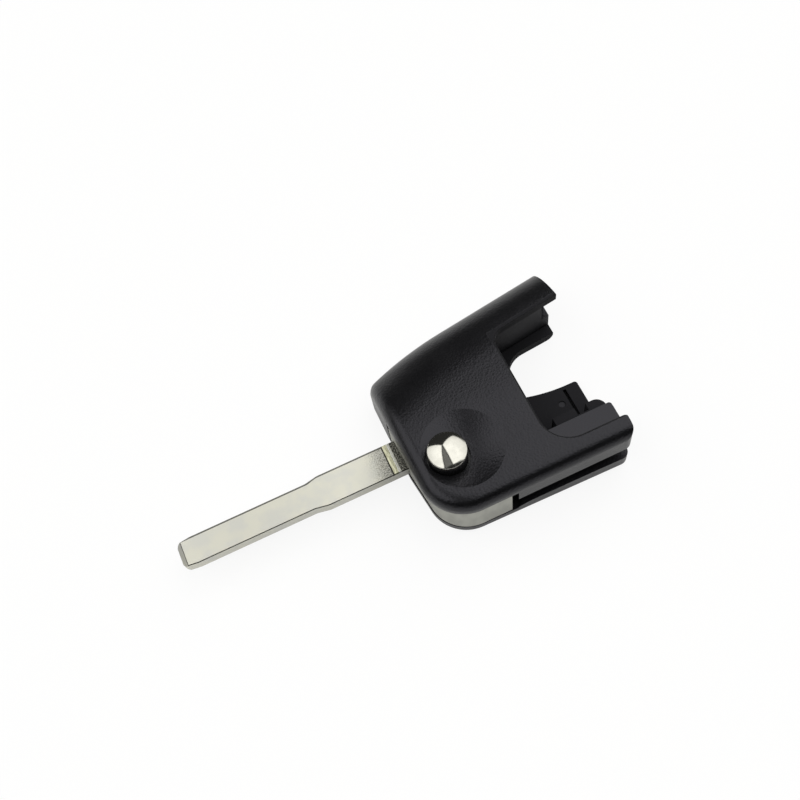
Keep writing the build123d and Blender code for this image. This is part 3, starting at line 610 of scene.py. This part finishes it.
class FLIPKEY_OT_button(bpy.types.Operator):
    """Polished chrome on the release button"""

    bl_idname = "flipkey.button"
    bl_label = "Release button"

    PLATED = (15.35, 15.38)
    LOWER_RIM = (15.8, 15.45)
    # Near-black colour below the cap: painted shade of the gap round the button
    BODY_COLOUR = (0.008, 0.008, 0.009)

    def execute(self, context):
        wear_finish(NODES["release_button"], self.chrome(tuple(settings(context, "metal").button)))
        return {"FINISHED"}

    def chrome(self, base):
        """Mirror plating on the cap, browner at its lower rim, over a near-black, non-metal skirt that is
        painted shade of the gap round the button.
        """
        finish = Finish("Polished chrome")
        plated = finish.z.ramp(*self.PLATED)
        # The skirt below the cap, painted near-black as shade of the gap round the button
        body = 1.0 - plated
        rim = finish.z.ramp(*self.LOWER_RIM)
        haze = finish.noise(1.2)
        grain = finish.noise(0.2)
        colour = finish.mixed(haze.ramp(0.35, 0.65), base, scaled(base, 0.9))
        colour = finish.mixed(rim * 0.8, colour, scaled(base, 0.8, 0.66, 0.5))
        colour = finish.mixed(plated, self.BODY_COLOUR, colour)
        roughness = 0.07 + haze * 0.04 + rim * 0.1 + body * 0.25
        normal = finish.bump(haze + body * grain, 0.004)
        return finish.shade(Base_Color=colour, Metallic=plated, Roughness=roughness, Normal=normal)


def drawn_steel(name, base, roughness):
    """Drawn or rolled steel with fine lines and a little oil darkening."""
    finish = Finish(name)
    lines = finish.noise(0.14, place=finish.stretched((1.0, 1.0, 0.2)))
    film = finish.noise(1.5)
    return finish.shade(
        Base_Color=finish.mixed(film.ramp(0.3, 0.75), base, scaled(base, 0.6)),
        Metallic=1.0,
        Roughness=roughness + film * 0.12 + lines * 0.05,
        Normal=finish.bump(lines, 0.006),
    )


class FLIPKEY_OT_spring(bpy.types.Operator):
    """Coiled spring with closed ends, in the place of the plain helix"""

    bl_idname = "flipkey.spring"
    bl_label = "Spring and roll pin"

    WIRE_RADIUS = 0.42 * MM

    def execute(self, context):
        material = drawn_steel("Drawn spring wire", tuple(settings(context, "metal").steel), 0.32)
        low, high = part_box("flip_spring")
        room = high.z - low.z
        turns = settings(context, "coils").turns
        sizes = {
            "Coil Radius": (high.x - low.x) / 2 - self.WIRE_RADIUS,
            "Section Radius": self.WIRE_RADIUS,
            "Turns": turns,
            "Height": room - 2 * self.WIRE_RADIUS,
            "Base": low.z + self.WIRE_RADIUS,
            "Closed Share": 1.0 / turns,
            "Section Sides": 12,
            "Steps": 36,
            "Centre": (0.0, 0.0, 0.0),
        }
        spring = grown("flip_spring_coil", coil_tree(material), sizes)
        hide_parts("flip_spring")
        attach(spring, "head")
        travel = next(j for j in frame["joints"] if j["name"] == "button_press")["range_m"][1]
        (room - travel) / room
        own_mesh(spring)
        wear_finish(NODES["blade_roll_pin"], material)
        return {"FINISHED"}


class FLIPKEY_OT_screw(bpy.types.Operator):
    """Thread and finish of the closing screw"""

    bl_idname = "flipkey.screw"
    bl_label = "Closing screw"

    CORE_RADIUS = 0.78 * MM
    HEAD_HEIGHT = 1.1 * MM
    BELOW_THREAD = 0.3 * MM
    PLAIN_LENGTH = 1.0 * MM

    def execute(self, context):
        setup = settings(context, "coils")
        material = drawn_steel("Bright zinc plating", tuple(settings(context, "metal").screw), 0.3)
        wear_finish(NODES["closing_screw"], material)
        low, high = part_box("closing_screw")
        middle = (low + high) / 2
        height = high.z - low.z - self.HEAD_HEIGHT - self.PLAIN_LENGTH
        sizes = {
            "Coil Radius": self.CORE_RADIUS,
            "Section Radius": setup.ridge,
            "Turns": height / setup.pitch,
            "Height": height,
            "Base": low.z + self.HEAD_HEIGHT + self.BELOW_THREAD,
            "Closed Share": 0.001,
            "Section Sides": 6,
            "Steps": 24,
            "Centre": (middle.x, middle.y, 0.0),
        }
        thread = grown("closing_screw_thread", coil_tree(material), sizes)
        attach(thread, "head")
        return {"FINISHED"}


class FLIPKEY_OT_stage(bpy.types.Operator):
    """White table, soft lights and the camera"""

    bl_idname = "flipkey.stage"
    bl_label = "Studio"

    # Degrees: a bearing from +Y towards +X, and a height above the table
    BOX_CORNER = (-2.0, 52.0)
    BOX_FRONT = (0.0, 38.0)
    RIGHT_BEARINGS = (43.0, 178.0)
    LEFT_BEARINGS = (201.0, 322.0)
    CEILING_BEARINGS = (178.0, 201.0)

    # Cosines over which a box fades at an edge and towards the horizon
    BOX_EDGE = (0.0, 0.06)
    BOX_FOOT = (0.24, 0.36)

    # Brightness of the boxes from low to high, as a share, and how warm they are
    BOX_HEIGHTS = (0.2, 0.95)
    BOX_SHARES = (0.72, 1.04)
    BLUE_SHARE = 0.97

    TABLE_REACH = 1.5
    PAPER = (0.9, 0.9, 0.9, 1.0)
    SEEN_GLOW = 0.88
    MIRRORED_GLOW = 0.25

    def execute(self, context):
        setup = settings(context, "studio")
        self.table(context)
        self.sky(context, setup)
        self.camera(context, setup)
        return {"FINISHED"}

    def table(self, context):
        """Paper that glows for the camera, and less in mirrors, so that it looks white."""
        near, far = -self.TABLE_REACH, self.TABLE_REACH
        corners = [(near, near, 0), (far, near, 0), (far, far, 0), (near, far, 0)]
        mesh = bpy.data.meshes.new("table_top")
        mesh.from_pydata(corners, [], [(0, 1, 2, 3)])
        table = bpy.data.objects.new("table_top", mesh)
        context.scene.collection.objects.link(table)
        material = blank_material("White table")
        graph = Graph(material.node_tree)
        paper = graph.add("ShaderNodeBsdfDiffuse", None, Color=self.PAPER)
        glow = graph.add("ShaderNodeEmission", None, Color=WHITE, Strength=1.0)
        seen = graph.add("ShaderNodeLightPath", out="Is Camera Ray")
        mirrored = graph.add("ShaderNodeLightPath", out="Is Glossy Ray")
        share = (seen * self.SEEN_GLOW).at_least(mirrored * self.MIRRORED_GLOW)
        both = graph.add("ShaderNodeMixShader", None, share, paper, glow)
        graph.add("ShaderNodeOutputMaterial", None, Surface=both)
        mesh.materials.append(material)

    def sky(self, context, setup):
        """Dark room with two large soft boxes, plain white for the camera."""
        world = bpy.data.worlds.new("Studio")
        context.scene.world = world
        world.use_nodes = True
        world.node_tree.nodes.clear()
        graph = Graph(world.node_tree)
        direction = graph.add("ShaderNodeTexCoord", out="Generated")
        right = self.soft_box(graph, direction, *self.RIGHT_BEARINGS)
        left = self.soft_box(graph, direction, *self.LEFT_BEARINGS)
        ceiling = self.soft_box(graph, direction, *self.CEILING_BEARINGS)
        height = graph.add("ShaderNodeSeparateXYZ", None, direction, out="Z")
        share = height.ramp(*self.BOX_HEIGHTS, *self.BOX_SHARES)
        boxes = (right * setup.right_box + left * setup.left_box) * share
        level = setup.room + boxes + ceiling * setup.ceiling
        tone = graph.add("ShaderNodeCombineColor", None, level, level, level * self.BLUE_SHARE)
        light = graph.add("ShaderNodeBackground", None, Color=tone, Strength=1.0)
        white = graph.add("ShaderNodeBackground", None, Color=WHITE, Strength=1.0)
        seen = graph.add("ShaderNodeLightPath", out="Is Camera Ray")
        both = graph.add("ShaderNodeMixShader", None, seen, light, white)
        graph.add("ShaderNodeOutputWorld", None, Surface=both)

    def toward(self, bearing, height):
        """Unit vector towards a bearing and a height."""
        turn, tilt = math.radians(bearing), math.radians(height)
        return Vector((math.sin(turn) * math.cos(tilt), math.cos(turn) * math.cos(tilt), math.sin(tilt)))

    def soft_box(self, graph, direction, first, last):
        """1 over a box overhead, with edges from the boxes' common corner to two bearings."""
        corner = self.toward(*self.BOX_CORNER)
        sides = (
            (self.toward(first, 0.0).cross(corner).normalized(), self.BOX_EDGE),
            (corner.cross(self.toward(last, 0.0)).normalized(), self.BOX_EDGE),
            (self.toward(*self.BOX_FRONT), self.BOX_EDGE),
            (Vector((0.0, 0.0, 1.0)), self.BOX_FOOT),
        )
        dot = {"operation": "DOT_PRODUCT"}
        inside = 1.0
        for normal, fade in sides:
            across = graph.add("ShaderNodeVectorMath", dot, direction, normal, out="Value")
            inside = across.ramp(*fade) * inside
        return inside

    def camera(self, context, setup):
        """Camera at its distance from the target, on a line set by its two angles, and rolled."""
        elevation, azimuth, roll = setup.elevation, setup.azimuth, setup.roll
        out = math.cos(elevation)
        back = Vector((math.sin(azimuth) * out, -math.cos(azimuth) * out, math.sin(elevation)))
        level = Vector((math.cos(azimuth), math.sin(azimuth), 0.0))
        rise = back.cross(level)
        right = math.cos(roll) * level + math.sin(roll) * rise
        up = -math.sin(roll) * level + math.cos(roll) * rise
        data = bpy.data.cameras.new("Camera")
        data.lens = setup.lens
        data.sensor_width = 36.0
        data.sensor_fit = "HORIZONTAL"
        data.clip_start = 0.01
        camera = bpy.data.objects.new("Camera", data)
        context.scene.collection.objects.link(camera)
        turn = Matrix((right, up, back)).transposed().to_4x4()
        camera.matrix_world = Matrix.Translation(Vector(setup.target) + back * setup.distance) @ turn
        context.scene.camera = camera
        context.scene.view_settings.view_transform = "Standard"


OPERATORS = (
    FLIPKEY_OT_shells,
    FLIPKEY_OT_blade,
    FLIPKEY_OT_hub,
    FLIPKEY_OT_button,
    FLIPKEY_OT_spring,
    FLIPKEY_OT_screw,
    FLIPKEY_OT_stage,
)


class FLIPKEY_PT_head(bpy.types.Panel):
    """Pieces and settings of the flip-key head"""

    bl_idname = "FLIPKEY_PT_head"
    bl_label = "Flip-key head"
    bl_space_type = "VIEW_3D"
    bl_region_type = "UI"
    bl_category = "Flip-key head"

    def draw(self, context):
        for name, group in SETTINGS.items():
            box = self.layout.box()
            for prop in group.__annotations__:
                box.prop(settings(context, name), prop)
        for operator in OPERATORS:
            self.layout.operator(operator.bl_idname)


def register():
    for name, group in SETTINGS.items():
        bpy.utils.register_class(group)
        setattr(bpy.types.Scene, "flip_key_" + name, bpy.props.PointerProperty(type=group))
    for operator in OPERATORS:
        bpy.utils.register_class(operator)
    bpy.utils.register_class(FLIPKEY_PT_head)


def unregister():
    bpy.utils.unregister_class(FLIPKEY_PT_head)
    for operator in reversed(OPERATORS):
        bpy.utils.unregister_class(operator)
    for name, group in SETTINGS.items():
        delattr(bpy.types.Scene, "flip_key_" + name)
        bpy.utils.unregister_class(group)


def main():
    register()
    for operator in OPERATORS:
        piece = operator.bl_idname.split(".")[1]
        getattr(bpy.ops.flipkey, piece)()


if __name__ == "__main__":
    main()
